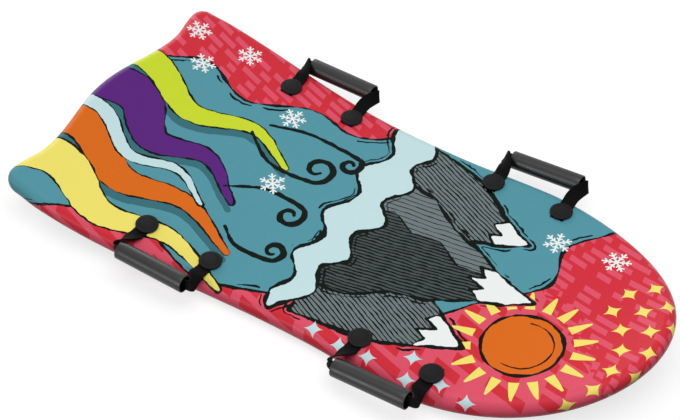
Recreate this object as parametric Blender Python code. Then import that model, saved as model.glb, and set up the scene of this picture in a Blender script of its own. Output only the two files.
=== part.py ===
"""Foam snow sled: a lie-down board with a film deck, a slick underside and four swinging strap handles.

Metres, +Z up. +X runs to the nose and +Y to the rider's left. The origin lies under the middle of the
board, at the level of its flat running surface.
"""
import math

import bmesh
import bpy
from mathutils import Matrix, Vector

# Plan shape of the board
board_length = 1.000
tail_half_width = 0.2505
tail_flare = 0.0025
flare_from_tail = 0.080
waist_from_nose_share = 0.455
waist_draw_in = 0.0305
shoulder_from_nose_share = 0.297
shoulder_draw_in = 0.0240
tail_corner_setback = 0.012
tail_scallop_setback = 0.022
tail_scallop_offset = 0.160
tail_corner_softness = 0.006
tail_fill_margin = 0.004
nose_fullness_share = 1.8
flare_lag_share = 1.2

# Side shape of the board: flat in the middle, swept up at both ends
board_thickness = 0.036
nose_rise = 0.0555
nose_sweep_length = 0.389
nose_sweep_share = 3.0
tail_rise = 0.0500
tail_sweep_length = 0.426
tail_sweep_share = 1.8

# Layers of the board
skin_thickness = 0.0010
skin_lap_angle = math.radians(80)
slick_thickness = 0.0015
slick_edge = 0.0005
seat_gap = 0.00035
weld_distance = 0.000002
cut_overrun = 0.010

# Two-part rivets
cap_radius = 0.0175
cap_rim_height = 0.0022
cap_rim_round = 0.0007
cap_dome_rise = 0.0012
cap_ring_radius = 0.0115
cap_ring_depth = 0.0004
shank_radius = 0.0050
shank_bore_radius = 0.0034
bore_roof = 0.0030
base_radius = 0.0150
base_thickness = 0.0022
base_recess = 0.0005
base_edge = 0.0006
base_dish_radius = 0.0105
base_dish_depth = 0.0004
post_radius = 0.0026
post_barb_radius = 0.0030
post_barb_pitch = 0.0050
post_barb_height = 0.0014
post_tip_gap = 0.0015

# Webbing
webbing_width = 0.0225
webbing_thickness = 0.0018
webbing_edge = 0.0004
tab_tail_length = 0.0165
crease_from_cap = 0.0050
crease_lift = 0.0011
crease_flat = 0.0020
crease_nose = 0.0005
crease_nose_share = 0.5
tab_end_gap = 0.0013
leg_lift = 0.0162
leg_run = 0.0288
leg_flare = 0.0256
leg_lead = 0.0010
twist_lag_share = 0.70

# Tube grips
grip_length = 0.120
grip_radius = 0.0140
grip_wall = 0.0018
grip_edge = 0.0006
grip_height = 0.0060
grip_tilt_rise = 0.0085
grip_rail_clearance = 0.0015

# Where the handles stand
rivet_pitch = 0.118
strap_reach = 0.0625
front_handle_from_nose_share = 0.317
rear_handle_from_tail_share = 0.302

# How finely round forms are cut
nose_steps = 12
waist_steps = 5
flare_steps = 9
corner_run_steps = 2
corner_steps = 4
tail_steps = 5
rail_steps = 6
cap_segments = 20
base_segments = 12
hole_segments = 12
grip_segments = 20
leg_steps = 10

# Places that follow from the sizes above
nose_x = board_length / 2
tail_x = -board_length / 2
shoulder_x = nose_x - board_length * shoulder_from_nose_share
shoulder_half_width = tail_half_width - shoulder_draw_in
waist_x = nose_x - board_length * waist_from_nose_share
waist_half_width = tail_half_width - waist_draw_in
flare_x = tail_x + flare_from_tail
flare_half_width = tail_half_width + tail_flare
corner_x = tail_x + tail_corner_setback
scallop_x = tail_x + tail_scallop_setback
rail_radius = board_thickness / 2
corner_radius = rail_radius + tail_corner_softness
corner_start_x = corner_x + corner_radius
corner_end_y = tail_half_width - corner_radius
fill_x = max(scallop_x + rail_radius, corner_start_x) + tail_fill_margin
nose_sweep_x = nose_x - nose_sweep_length
tail_sweep_x = tail_x + tail_sweep_length
webbing_top = seat_gap + webbing_thickness
cap_underside = webbing_top + seat_gap
base_top = base_recess + base_thickness - board_thickness
crease_y = cap_radius + crease_from_cap
crease_z = webbing_thickness / 2 + crease_lift
front_handle_x = nose_x - board_length * front_handle_from_nose_share
rear_handle_x = tail_x + board_length * rear_handle_from_tail_share


def ease(share):
    """Smooth step from 0 to 1 that starts and ends level."""
    return (1 - math.cos(math.pi * share)) / 2


def mix(first, second, share):
    return first + (second - first) * share


def rocker(x):
    """Height of the running surface at a station along the board."""
    nose_share = max(0.0, (x - nose_sweep_x) / nose_sweep_length)
    tail_share = max(0.0, (tail_sweep_x - x) / tail_sweep_length)
    return nose_rise * nose_share ** nose_sweep_share + tail_rise * tail_share ** tail_sweep_share


def rocker_slope(x):
    """Rise of the running surface for each metre towards the nose."""
    nose_share = max(0.0, (x - nose_sweep_x) / nose_sweep_length)
    tail_share = max(0.0, (tail_sweep_x - x) / tail_sweep_length)
    nose_slope = nose_rise / nose_sweep_length * nose_sweep_share * nose_share ** (nose_sweep_share - 1)
    tail_slope = tail_rise / tail_sweep_length * tail_sweep_share * tail_share ** (tail_sweep_share - 1)
    return nose_slope - tail_slope


def half_width(x):
    """Half of the board's width at a station between the nose tip and the tail corners."""
    if x >= shoulder_x:
        run = (x - shoulder_x) / (nose_x - shoulder_x)
        return shoulder_half_width * math.sqrt(1 - run ** nose_fullness_share)
    if x >= waist_x:
        return mix(waist_half_width, shoulder_half_width, ease((x - waist_x) / (shoulder_x - waist_x)))
    if x >= flare_x:
        run = (waist_x - x) / (waist_x - flare_x)
        return mix(waist_half_width, flare_half_width, ease(run ** flare_lag_share))
    return mix(flare_half_width, tail_half_width, ease((flare_x - x) / (flare_x - corner_start_x)))


def tail_edge(y):
    """Station of the tail's edge: a shallow scallop each side of a rounded middle."""
    if y >= tail_scallop_offset:
        run = (y - tail_scallop_offset) / (corner_end_y - tail_scallop_offset)
        return mix(scallop_x, corner_x, ease(run))
    return mix(tail_x, scallop_x, ease(y / tail_scallop_offset))


def side_points(inset):
    """Left edge from the nose tip to the start of the tail corner, drawn in by the inset."""
    points = []
    for step in range(nose_steps):
        turn = math.radians(90) * (1 - step / nose_steps)
        run = math.sin(turn) ** (2 / nose_fullness_share)
        x = mix(shoulder_x, nose_x - inset, run)
        points.append((x, (shoulder_half_width - inset) * math.cos(turn)))
    stretches = [
        (shoulder_x, waist_x, waist_steps),
        (waist_x, flare_x, flare_steps),
        (flare_x, fill_x, corner_run_steps),
        (fill_x, corner_start_x, 1),
    ]
    for start, stop, steps in stretches:
        for step in range(steps):
            x = mix(start, stop, step / steps)
            points.append((x, half_width(x) - inset))
    points.append((corner_start_x, tail_half_width - inset))
    return points


def tail_points(inset):
    """Left edge from just past the start of the tail corner to the middle of the tail."""
    points = []
    reach = corner_radius - inset
    for step in range(1, corner_steps + 1):
        turn = math.radians(90) * step / corner_steps
        points.append((corner_start_x - reach * math.sin(turn), corner_end_y + reach * math.cos(turn)))
    for start, stop in ((corner_end_y, tail_scallop_offset), (tail_scallop_offset, 0.0)):
        for step in range(1, tail_steps + 1):
            y = mix(start, stop, step / tail_steps)
            points.append((tail_edge(y) + inset, y))
    return points


def rail_arc(radius):
    """Inset and height of points on the rail's round, from the lap below to the deck above."""
    points = []
    for step in range(rail_steps + 1):
        turn = mix(-skin_lap_angle, math.radians(90), step / rail_steps)
        points.append((rail_radius - radius * math.cos(turn), rail_radius + radius * math.sin(turn)))
    return points


def new_object(name, mesh, material, parent=None, matrix=None):
    """Scene object with its material, placed by a matrix in its parent's space."""
    piece = bpy.data.objects.new(name, mesh)
    bpy.context.scene.collection.objects.link(piece)
    piece.parent = parent
    piece.matrix_basis = matrix or Matrix()
    if mesh is not None:
        mesh.materials.append(material)
    return piece


def finished_mesh(name, bm, smooth_angle=math.radians(35)):
    """Closes a bmesh into a mesh with outward faces and smooth rounds."""
    bmesh.ops.recalc_face_normals(bm, faces=bm.faces[:])
    mesh = bpy.data.meshes.new(name)
    bm.to_mesh(mesh)
    bm.free()
    mesh.shade_smooth()
    mesh.set_sharp_from_angle(angle=smooth_angle)
    return mesh


def add_board_ring(bm, inset, height):
    """One loop of the board's outline, as a left and a right list that share both ends."""
    outline = side_points(inset) + tail_points(inset)
    left = [bm.verts.new((x, y, height + rocker(x))) for x, y in outline]
    right = [bm.verts.new((x, -y, height + rocker(x))) for x, y in outline[1:-1]]
    return left, [left[0]] + right + [left[-1]]


def bridge_board_rings(bm, lower, upper):
    for low, high in zip(lower, upper):
        for index in range(len(low) - 1):
            bm.faces.new((low[index], low[index + 1], high[index + 1], high[index]))


def cap_board_ring(bm, ring, height):
    """Fills a loop with strips across the board, and with strips along it behind the tail corners."""
    left, right = ring
    fill = len(side_points(0.0)) - 2
    bm.faces.new((left[0], left[1], right[1]))
    for index in range(1, fill - 1):
        bm.faces.new((left[index], left[index + 1], right[index + 1], right[index]))
    chords = []
    for side in (left, right):
        chord = [side[fill]]
        for edge_point in side[fill + 2:-1]:
            chord.append(bm.verts.new((fill_x, edge_point.co.y, height + rocker(fill_x))))
        chords.append(chord)
    middle = bm.verts.new((fill_x, 0.0, height + rocker(fill_x)))
    bm.faces.new([left[fill - 1]] + chords[0] + [middle] + chords[1][::-1] + [right[fill - 1]])
    for side, chord in zip((left, right), chords):
        bm.faces.new((chord[0], side[fill + 1], side[fill + 2], chord[1]))
        for index in range(1, len(chord) - 1):
            bm.faces.new((chord[index], side[fill + 1 + index], side[fill + 2 + index], chord[index + 1]))
        bm.faces.new((chord[-1], side[-2], side[-1], middle))


def board_layer(name, profile, material):
    """Solid swept round the board's outline through a profile of (inset, height) pairs."""
    bm = bmesh.new()
    rings = [add_board_ring(bm, inset, height) for inset, height in profile]
    for lower, upper in zip(rings, rings[1:]):
        bridge_board_rings(bm, lower, upper)
    cap_board_ring(bm, rings[0], profile[0][1])
    cap_board_ring(bm, rings[-1], profile[-1][1])
    return new_object(name, finished_mesh(name, bm), material)


def turned_mesh(name, profile, segments, axis=(0, 0, 1)):
    """Solid turned from (radius, height) pairs that start and end on the axis, or go round a ring off it."""
    bm = bmesh.new()
    lift = Vector(axis)
    out = Vector((0, 1, 0))
    verts = [bm.verts.new(out * radius + lift * height) for radius, height in profile]
    edges = [bm.edges.new(pair) for pair in zip(verts, verts[1:])]
    if profile[0][0] > 0:
        edges.append(bm.edges.new((verts[-1], verts[0])))
    bmesh.ops.spin(
        bm, geom=verts + edges, cent=(0, 0, 0), axis=lift, angle=math.radians(360),
        steps=segments, use_merge=True, use_duplicate=False,
    )
    bmesh.ops.remove_doubles(bm, verts=bm.verts[:], dist=weld_distance)
    return finished_mesh(name, bm)


def principled(name, colour, roughness, metallic=0.0):
    material = bpy.data.materials.new(name)
    material.use_nodes = True
    shader = material.node_tree.nodes["Principled BSDF"]
    shader.inputs["Base Color"].default_value = (*colour, 1.0)
    shader.inputs["Roughness"].default_value = roughness
    shader.inputs["Metallic"].default_value = metallic
    material.diffuse_color = (*colour, 1.0)
    return material


def rivet_frame(x, side):
    """Frame on the deck where a rivet stands, square to the deck."""
    lean = Matrix.Rotation(-math.atan(rocker_slope(x)), 4, "Y")
    return Matrix.Translation((x, side * rivet_y, board_thickness + rocker(x))) @ lean


def handle_frame(x):
    """Frame between the two rivets of a handle, with X along the line through them."""
    aft = Vector((x - rivet_pitch / 2, 0, board_thickness + rocker(x - rivet_pitch / 2)))
    fore = Vector((x + rivet_pitch / 2, 0, board_thickness + rocker(x + rivet_pitch / 2)))
    lean = -math.atan2(fore.z - aft.z, fore.x - aft.x)
    return (aft + fore) / 2, Matrix.Rotation(lean, 4, "Y")


def grip_y_beside_rail(x):
    """How far out a grip lies where its low end clears the rail's round beside a handle."""
    widest = max(half_width(x - grip_length / 2), half_width(x), half_width(x + grip_length / 2))
    apart = rail_radius + grip_radius + grip_rail_clearance
    down = rail_radius + grip_height - grip_tilt_rise / 2
    return widest - rail_radius + math.sqrt(apart ** 2 - down ** 2)


rivet_y = max(grip_y_beside_rail(front_handle_x), grip_y_beside_rail(rear_handle_x)) - strap_reach


def cutter(name, radius, low, high, frames):
    """Hidden rods that bore the same hole at each rivet."""
    bm = bmesh.new()
    for frame in frames:
        bmesh.ops.create_cone(
            bm, cap_ends=True, segments=hole_segments, radius1=radius, radius2=radius,
            depth=high - low, matrix=frame @ Matrix.Translation((0, 0, (low + high) / 2)),
        )
    piece = new_object(name, finished_mesh(name, bm), None)
    piece.hide_render = True
    piece.display_type = "WIRE"
    return piece


def bore(piece, tool):
    cut = piece.modifiers.new(tool.name, "BOOLEAN")
    cut.operation = "DIFFERENCE"
    cut.solver = "EXACT"
    cut.object = tool


def cap_mesh():
    """Rivet cap: a low domed disc with a pressed ring, on a hollow shank."""
    top = cap_underside + cap_rim_height
    crown = top + cap_dome_rise
    shank_end = base_top + seat_gap
    roof = cap_underside - bore_roof
    ring_outer = cap_ring_radius + cap_ring_depth
    ring_inner = cap_ring_radius - cap_ring_depth
    ring_height = top + cap_dome_rise * (1 - (cap_ring_radius / cap_radius) ** 2)
    profile = [
        (0.0, crown),
        (ring_inner, ring_height),
        (cap_ring_radius, ring_height - cap_ring_depth),
        (ring_outer, ring_height),
        (cap_radius - cap_rim_round, top),
        (cap_radius, top - cap_rim_round),
        (cap_radius, cap_underside),
        (shank_radius, cap_underside),
        (shank_radius, shank_end),
        (shank_bore_radius, shank_end),
        (shank_bore_radius, roof),
        (0.0, roof),
    ]
    return turned_mesh("rivet_cap", profile, cap_segments)


def base_mesh():
    """Rivet base: a dished disc with a barbed post that snaps into the cap's shank."""
    bottom = base_recess - board_thickness
    post_tip = cap_underside - bore_roof - post_tip_gap
    profile = [
        (0.0, bottom + base_dish_depth),
        (base_dish_radius - base_edge, bottom + base_dish_depth),
        (base_dish_radius, bottom),
        (base_radius - base_edge, bottom),
        (base_radius, bottom + base_edge),
        (base_radius, base_top),
        (post_radius, base_top),
    ]
    for count in (2, 1):
        foot = post_tip - count * post_barb_pitch
        profile.append((post_radius, foot))
        profile.append((post_barb_radius, foot))
        profile.append((post_radius, foot + post_barb_height))
    profile.append((post_radius, post_tip - post_barb_height))
    profile.append((0.0, post_tip))
    return turned_mesh("rivet_base", profile, base_segments)


def tab_mesh():
    """Fixed end of the webbing, flat under a cap, with its square cut end inboard."""
    bm = bmesh.new()
    half = webbing_width / 2
    outboard = crease_y - tab_end_gap
    corners = [(-half, -tab_tail_length), (half, -tab_tail_length), (half, outboard), (-half, outboard)]
    face = bm.faces.new([bm.verts.new((x, y, seat_gap)) for x, y in corners])
    raised = bmesh.ops.extrude_face_region(bm, geom=[face])
    lifted = [item for item in raised["geom"] if isinstance(item, bmesh.types.BMVert)]
    bmesh.ops.translate(bm, verts=lifted, vec=(0, 0, webbing_thickness))
    return finished_mesh("strap_tab", bm)


def grip_axis():
    """Middle of a left grip's axis and the way it points, in the handle's frame at the crease."""
    middle = Vector((0, strap_reach - crease_y, grip_height - crease_z))
    run = math.sqrt(grip_length ** 2 - grip_tilt_rise ** 2)
    return middle, Vector((run, 0, grip_tilt_rise)).normalized()


def leg_stations(end):
    """Points, directions and width directions of one webbing leg, from its crease into the grip.

    The leg leaves the deck flat, turns on edge and bends round into the end of the grip.
    """
    middle, along = grip_axis()
    inward = -end * along
    mouth = middle - inward * (grip_length / 2)
    crease = Vector((end * rivet_pitch / 2, 0, 0))
    start = crease + Vector((0, crease_flat, 0))
    lead = mouth - inward * leg_lead
    controls = [
        start,
        start + Vector((0, leg_run, leg_lift)),
        lead - inward * leg_flare,
        lead,
    ]
    flat = Vector((-end, 0, 0))
    on_edge = Vector((0, 0, 1))
    stations = [(crease, Vector((0, 1, 0)), flat)]
    for step in range(leg_steps + 1):
        share = step / leg_steps
        rest = 1 - share
        point = (controls[0] * rest ** 3 + controls[1] * 3 * rest ** 2 * share
                 + controls[2] * 3 * rest * share ** 2 + controls[3] * share ** 3)
        ahead = ((controls[1] - controls[0]) * rest ** 2 + (controls[2] - controls[1]) * 2 * rest * share
                 + (controls[3] - controls[2]) * share ** 2).normalized()
        turn = math.radians(90) * ease(share ** twist_lag_share)
        width = flat * math.cos(turn) + on_edge * math.sin(turn)
        width = (width - ahead * width.dot(ahead)).normalized()
        stations.append((point, ahead, width))
    stations.append((mouth, inward, stations[-1][2]))
    return stations


def strap_mesh(name, side):
    """Moving webbing loop: aft leg, the stretch inside the grip and the fore leg, as one strap."""
    aft = leg_stations(-1)
    fore = [(point, -ahead, width) for point, ahead, width in leg_stations(1)[::-1]]
    half = webbing_width / 2
    depth = webbing_thickness / 2
    outline = [
        (half, depth - webbing_edge), (half - webbing_edge, depth),
        (webbing_edge - half, depth), (-half, depth - webbing_edge),
        (-half, webbing_edge - depth), (webbing_edge - half, -depth),
        (half - webbing_edge, -depth), (half, webbing_edge - depth),
    ]
    loop = [(point, ahead, width, 1.0) for point, ahead, width in aft + fore]
    for crease, inboard in ((loop[0], -1), (loop[-1], 1)):
        point, ahead, width, _ = crease
        nose = (point + ahead * inboard * crease_nose, ahead, width, crease_nose_share)
        loop.insert(0 if inboard < 0 else len(loop), nose)
    bm = bmesh.new()
    rings = []
    for point, ahead, width, thin_share in loop:
        across = ahead.cross(width)
        ring = []
        for wide, thick in outline:
            place = point + width * wide + across * (thick * thin_share)
            ring.append(bm.verts.new((place.x, side * place.y, place.z)))
        rings.append(ring)
    for near, far in zip(rings, rings[1:]):
        for index in range(len(outline)):
            after = (index + 1) % len(outline)
            bm.faces.new((near[index], near[after], far[after], far[index]))
    bm.faces.new(rings[0])
    bm.faces.new(rings[-1])
    return finished_mesh(name, bm)


def grip_mesh():
    """Tube grip with open, lightly eased ends, turned about its own X axis."""
    half = grip_length / 2
    bore_radius = grip_radius - grip_wall
    profile = [
        (bore_radius, -half + grip_edge),
        (bore_radius + grip_edge, -half),
        (grip_radius - grip_edge, -half),
        (grip_radius, -half + grip_edge),
        (grip_radius, half - grip_edge),
        (grip_radius - grip_edge, half),
        (bore_radius + grip_edge, half),
        (bore_radius, half - grip_edge),
    ]
    return turned_mesh("grip_tube", profile, grip_segments, axis=(1, 0, 0))


def build_board(film, foam, slick):
    inner = rail_radius - skin_thickness
    skin = board_layer("deck_skin", rail_arc(inner)[::-1] + rail_arc(rail_radius), film)

    core_arc = rail_arc(inner - seat_gap)
    core_bottom = slick_thickness + seat_gap
    share = (core_bottom - core_arc[0][1]) / (core_arc[1][1] - core_arc[0][1])
    core_start = (mix(core_arc[0][0], core_arc[1][0], share), core_bottom)
    core = board_layer("foam_core", [core_start] + core_arc[1:], foam)

    slick_inset = rail_radius - inner * math.cos(skin_lap_angle) + seat_gap
    slick_profile = [
        (slick_inset + slick_edge, 0.0),
        (slick_inset, slick_edge),
        (slick_inset, slick_thickness),
    ]
    sheet = board_layer("slick_bottom", slick_profile, slick)
    return skin, core, sheet


def build_handle(row, x, side_name, side, meshes, materials):
    """One handle: two riveted webbing ends, and the webbing loop and grip that swing and turn."""
    middle, lean = handle_frame(x)
    crease = middle + lean @ Vector((0, 0, crease_z)) + Vector((0, side * (rivet_y + crease_y), 0))
    hinge = new_object(f"swing_{row}_{side_name}", None, None, None, Matrix.Translation(crease) @ lean)
    name = f"strap_{row}_{side_name}"
    new_object(name, strap_mesh(name, side), materials["webbing"], hinge)
    centre, along = grip_axis()
    turn = Matrix.Rotation(-math.atan2(along.z, along.x), 4, "Y")
    place = Matrix.Translation((centre.x, side * centre.y, centre.z)) @ turn
    new_object(f"grip_{row}_{side_name}", meshes["grip"].copy(), materials["grip"], hinge, place)

    turned_out = Matrix.Rotation(math.radians(180), 4, "Z") if side < 0 else Matrix()
    tabs = []
    for end_name, end in (("aft", -1), ("fore", 1)):
        corner = f"{row}_{side_name}_{end_name}"
        frame = rivet_frame(x + end * rivet_pitch / 2, side)
        new_object(f"cap_{corner}", meshes["cap"].copy(), materials["rivet"], None, frame)
        new_object(f"base_{corner}", meshes["base"].copy(), materials["rivet"], None, frame)
        seat = frame @ turned_out
        tabs.append(new_object(f"tab_{corner}", meshes["tab"].copy(), materials["webbing"], None, seat))
    return tabs


def main():
    for old in list(bpy.data.objects):
        bpy.data.objects.remove(old, do_unlink=True)

    film = principled("printed_film", (0.09, 0.31, 0.37), 0.22)
    foam = principled("closed_cell_foam", (0.80, 0.80, 0.78), 0.90)
    slick = principled("slick_sheet", (0.78, 0.79, 0.80), 0.35)
    materials = {
        "webbing": principled("black_webbing", (0.012, 0.011, 0.011), 0.80),
        "rivet": principled("black_rivet_plastic", (0.028, 0.027, 0.030), 0.55),
        "grip": principled("black_soft_tube", (0.030, 0.030, 0.031), 0.38),
    }
    meshes = {"cap": cap_mesh(), "base": base_mesh(), "tab": tab_mesh(), "grip": grip_mesh()}

    skin, core, sheet = build_board(film, foam, slick)
    rows = (("front", front_handle_x), ("rear", rear_handle_x))
    sides = (("left", 1), ("right", -1))
    frames = []
    for _, x in rows:
        for _, side in sides:
            for end in (-1, 1):
                frames.append(rivet_frame(x + end * rivet_pitch / 2, side))
    below = -board_thickness - cut_overrun
    shank_tool = cutter("shank_holes", shank_radius + seat_gap, below, cut_overrun, frames)
    base_tool = cutter("base_pockets", base_radius + seat_gap, below, base_top + seat_gap, frames)
    bore(skin, shank_tool)
    bore(core, shank_tool)
    bore(core, base_tool)
    bore(sheet, base_tool)

    for row, x in rows:
        for side_name, side in sides:
            for tab in build_handle(row, x, side_name, side, meshes, materials):
                bore(tab, shank_tool)


main()
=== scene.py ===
"""Looks of the foam snow sled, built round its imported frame.

Metres. +X runs to the nose, +Y to the rider's left and +Z up.
"""
import math

import bmesh
import bpy
import numpy as np
from mathutils import Matrix, Vector


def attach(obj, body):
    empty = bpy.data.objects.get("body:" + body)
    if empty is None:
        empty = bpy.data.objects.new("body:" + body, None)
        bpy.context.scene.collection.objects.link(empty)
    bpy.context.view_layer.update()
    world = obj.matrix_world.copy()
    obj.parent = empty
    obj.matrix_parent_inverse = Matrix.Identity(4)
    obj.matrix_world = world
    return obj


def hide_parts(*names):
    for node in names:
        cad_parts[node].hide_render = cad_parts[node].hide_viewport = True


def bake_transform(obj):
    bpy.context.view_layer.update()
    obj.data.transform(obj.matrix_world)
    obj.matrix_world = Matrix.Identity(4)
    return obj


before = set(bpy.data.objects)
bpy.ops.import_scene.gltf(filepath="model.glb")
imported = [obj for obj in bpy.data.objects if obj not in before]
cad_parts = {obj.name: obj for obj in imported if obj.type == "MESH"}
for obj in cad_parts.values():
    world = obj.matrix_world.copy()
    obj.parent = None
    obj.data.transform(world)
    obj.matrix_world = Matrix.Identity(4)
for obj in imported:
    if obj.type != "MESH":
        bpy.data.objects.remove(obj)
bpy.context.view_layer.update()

# Plan and side shape of the board, as in the solids
NOSE_X, TAIL_X = 0.5, -0.5
TAIL_HALF = 0.2505
SHOULDER_X, SHOULDER_HALF = 0.203, 0.2265
WAIST_X, WAIST_HALF = 0.045, 0.2200
FLARE_X, FLARE_HALF = -0.420, 0.2530
CORNER_X, SCALLOP_X, SCALLOP_Y = -0.488, -0.478, 0.160
CORNER_SOFTNESS, FILL_MARGIN = 0.006, 0.004
THICKNESS = 0.036
RAIL = THICKNESS / 2
CORNER = RAIL + CORNER_SOFTNESS
CORNER_START = CORNER_X + CORNER
CORNER_END_Y = TAIL_HALF - CORNER
FILL_X = max(SCALLOP_X + RAIL, CORNER_START) + FILL_MARGIN
NOSE_RISE, NOSE_SWEEP, NOSE_POWER = 0.0555, 0.389, 3.0
TAIL_RISE, TAIL_SWEEP, TAIL_POWER = 0.0500, 0.426, 1.8
NOSE_FULLNESS, FLARE_LAG = 1.8, 1.2
LAP_ANGLE = math.radians(80)

# Rivets, webbing and grips, as in the solids
SEAT = 0.00035
RIVET_PITCH = 0.118
RIVET_Y = 0.188065
HANDLE_X = {"front": 0.183, "rear": -0.198}
WEB_WIDTH, WEB_THICK = 0.0225, 0.0018
WEB_TOP = SEAT + WEB_THICK
CAP_RADIUS, CAP_RIM_HEIGHT, CAP_DOME_RISE = 0.0175, 0.0022, 0.0012
CAP_SEAT = WEB_TOP + SEAT
SHANK_RADIUS, SHANK_BORE, BORE_ROOF = 0.0050, 0.0034, 0.0030
BASE_RECESS, BASE_THICK, BASE_RADIUS, BASE_EDGE = 0.0005, 0.0022, 0.0150, 0.0006
BASE_TOP = BASE_RECESS + BASE_THICK - THICKNESS
DISH_RADIUS, DISH_DEPTH = 0.0105, 0.0004
POST_RADIUS, POST_GAP = 0.0026, 0.0015
BARB_RADIUS, BARB_PITCH, BARB_HEIGHT = 0.0030, 0.0050, 0.0014
TAB_TAIL = 0.0165
CREASE_FROM_CAP, CREASE_LIFT, CREASE_FLAT = 0.0050, 0.0011, 0.0020
CREASE_Y = CAP_RADIUS + CREASE_FROM_CAP
CREASE_Z = WEB_THICK / 2 + CREASE_LIFT
LEG_LIFT, LEG_RUN, LEG_FLARE, LEG_LEAD, LEG_LAG = 0.0162, 0.0288, 0.0256, 0.0010, 0.70
STRAP_REACH = 0.0625
GRIP_LENGTH, GRIP_RADIUS, GRIP_WALL = 0.120, 0.0140, 0.0018
GRIP_HEIGHT, GRIP_TILT = 0.0060, 0.0085

ROWS = ("front", "rear")
SIDES = (("left", 1), ("right", -1))
ENDS = (("aft", -1), ("fore", 1))
QUARTER = math.radians(90)

# How finely the board's surface is cut, and how near two points of it are one
NOSE_STEPS, SHOULDER_STEPS, SIDE_STEPS, BEND_STEPS, FILL_STEPS = 64, 52, 150, 12, 12
CORNER_STEPS, SCALLOP_STEPS, MIDDLE_STEPS = 8, 24, 54
RAIL_STEPS = 18
FILL_INDEX = NOSE_STEPS + SHOULDER_STEPS + SIDE_STEPS + BEND_STEPS
MERGE_DISTANCE = 0.000004

# Reach of the holes in the film round the middle of each rivet
FILM_HOLE = 0.0065

# How finely the webbing is cut
TAB_STEPS, LEG_STEPS, GRIP_STEPS, WIDTH_STEPS = 12, 26, 8, 8


def ease(share):
    return (1 - math.cos(math.pi * share)) / 2


def mix(first, second, share):
    return first + (second - first) * share


def sweeps(x):
    """How far x lies into the nose's sweep and into the tail's, each from 0 to 1."""
    return max(0.0, (x - NOSE_X + NOSE_SWEEP) / NOSE_SWEEP), max(0.0, (TAIL_X + TAIL_SWEEP - x) / TAIL_SWEEP)


def rocker(x):
    nose, tail = sweeps(x)
    return NOSE_RISE * nose ** NOSE_POWER + TAIL_RISE * tail ** TAIL_POWER


def rocker_slope(x):
    nose, tail = sweeps(x)
    up = NOSE_RISE / NOSE_SWEEP * NOSE_POWER * nose ** (NOSE_POWER - 1)
    return up - TAIL_RISE / TAIL_SWEEP * TAIL_POWER * tail ** (TAIL_POWER - 1)


def half_width(x):
    """Half of the board's width, from the shoulder back to the tail's corners."""
    if x >= WAIST_X:
        return mix(WAIST_HALF, SHOULDER_HALF, ease((x - WAIST_X) / (SHOULDER_X - WAIST_X)))
    if x >= FLARE_X:
        run = (WAIST_X - x) / (WAIST_X - FLARE_X)
        return mix(WAIST_HALF, FLARE_HALF, ease(run ** FLARE_LAG))
    return mix(FLARE_HALF, TAIL_HALF, ease((FLARE_X - x) / (FLARE_X - CORNER_START)))


def tail_edge(y):
    if y >= SCALLOP_Y:
        return mix(SCALLOP_X, CORNER_X, ease((y - SCALLOP_Y) / (CORNER_END_Y - SCALLOP_Y)))
    return mix(TAIL_X, SCALLOP_X, ease(y / SCALLOP_Y))


def outline(inset):
    """Left half of the board's outline, drawn in by the inset, from the nose tip to the tail's middle."""
    points = []
    for step in range(NOSE_STEPS):
        turn = QUARTER * (1 - step / NOSE_STEPS)
        x = mix(SHOULDER_X, NOSE_X - inset, math.sin(turn) ** (2 / NOSE_FULLNESS))
        points.append((x, (SHOULDER_HALF - inset) * math.cos(turn) if step else 0.0))
    for start, stop, steps in ((SHOULDER_X, WAIST_X, SHOULDER_STEPS), (WAIST_X, FLARE_X, SIDE_STEPS),
                               (FLARE_X, FILL_X, BEND_STEPS), (FILL_X, CORNER_START, FILL_STEPS)):
        for step in range(steps):
            x = mix(start, stop, step / steps)
            points.append((x, half_width(x) - inset))
    points.append((CORNER_START, TAIL_HALF - inset))
    reach = CORNER - inset
    for step in range(1, CORNER_STEPS + 1):
        turn = QUARTER * step / CORNER_STEPS
        points.append((CORNER_START - reach * math.sin(turn), CORNER_END_Y + reach * math.cos(turn)))
    for start, stop, steps in ((CORNER_END_Y, SCALLOP_Y, SCALLOP_STEPS), (SCALLOP_Y, 0.0, MIDDLE_STEPS)):
        for step in range(1, steps + 1):
            y = mix(start, stop, step / steps)
            points.append((tail_edge(y) + inset, y))
    return points


def rivet_frame(row, side, end):
    """Frame on the deck at the middle of a rivet."""
    x = HANDLE_X[row] + end * RIVET_PITCH / 2
    lean = Matrix.Rotation(-math.atan(rocker_slope(x)), 4, "Y")
    return Matrix.Translation((x, side * RIVET_Y, THICKNESS + rocker(x))) @ lean


def crease_frame(row, side):
    """Frame on the line that a handle folds along, with X along that line."""
    aft, fore = (Vector((x, 0, THICKNESS + rocker(x)))
                 for x in (HANDLE_X[row] - RIVET_PITCH / 2, HANDLE_X[row] + RIVET_PITCH / 2))
    lean = Matrix.Rotation(-math.atan2(fore.z - aft.z, fore.x - aft.x), 4, "Y")
    place = (aft + fore) / 2 + lean @ Vector((0, 0, CREASE_Z)) + Vector((0, side * (RIVET_Y + CREASE_Y), 0))
    return Matrix.Translation(place) @ lean


def grip_axis():
    """Middle and direction of a left grip, in the crease frame."""
    run = math.sqrt(GRIP_LENGTH ** 2 - GRIP_TILT ** 2)
    middle = Vector((0, STRAP_REACH - CREASE_Y, GRIP_HEIGHT - CREASE_Z))
    return middle, Vector((run, 0, GRIP_TILT)).normalized()


# Node materials

def linear(red, green, blue):
    """Scene colour of an 8-bit display colour."""
    out = []
    for value in (red, green, blue):
        share = value / 255
        out.append(share / 12.92 if share <= 0.04045 else ((share + 0.055) / 1.055) ** 2.4)
    return (*out, 1.0)


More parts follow.
